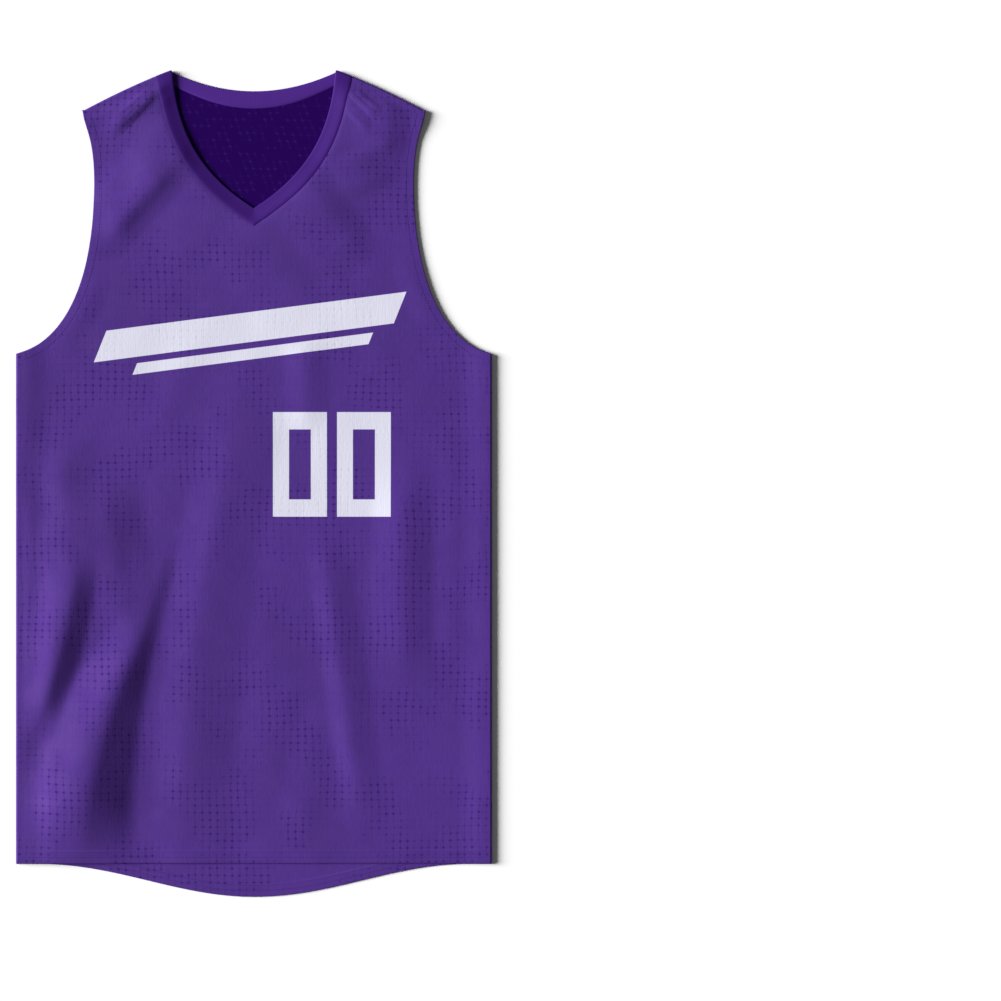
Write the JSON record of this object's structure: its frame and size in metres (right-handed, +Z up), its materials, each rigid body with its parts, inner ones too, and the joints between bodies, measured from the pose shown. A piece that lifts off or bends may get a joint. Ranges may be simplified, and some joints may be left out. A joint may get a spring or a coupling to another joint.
{
  "type": "sleeveless basketball jersey, laid flat",
  "caption": "Sleeveless V-neck mesh basketball jersey laid flat with its front up, soft folds, a rib neckband and a dropped curved tail.",
  "frame": {"origin": "on the surface that the jersey lies on, under the middle of its outline", "axes": "+X to the viewer's right across the garment, +Y from hem to neck, +Z up from the surface through the back and then the front"},
  "size_m": [0.476, 0.8271, 0.0148],
  "materials": {
    "mesh_cloth": "satin polyester pinhole mesh, purple, white printed numerals",
    "mesh_cloth_back": "satin polyester pinhole mesh, purple, white printed numerals",
    "neck_rib": "matte purple polyester rib",
    "thread": "satin purple sewing thread"
  },
  "bodies": {
    "root": {"front_panel": "mesh_cloth", "back_panel": "mesh_cloth_back", "neckband_front_left": "neck_rib", "neckband_front_right": "neck_rib", "neckband_back": "neck_rib"}
  },
  "joints": []
}
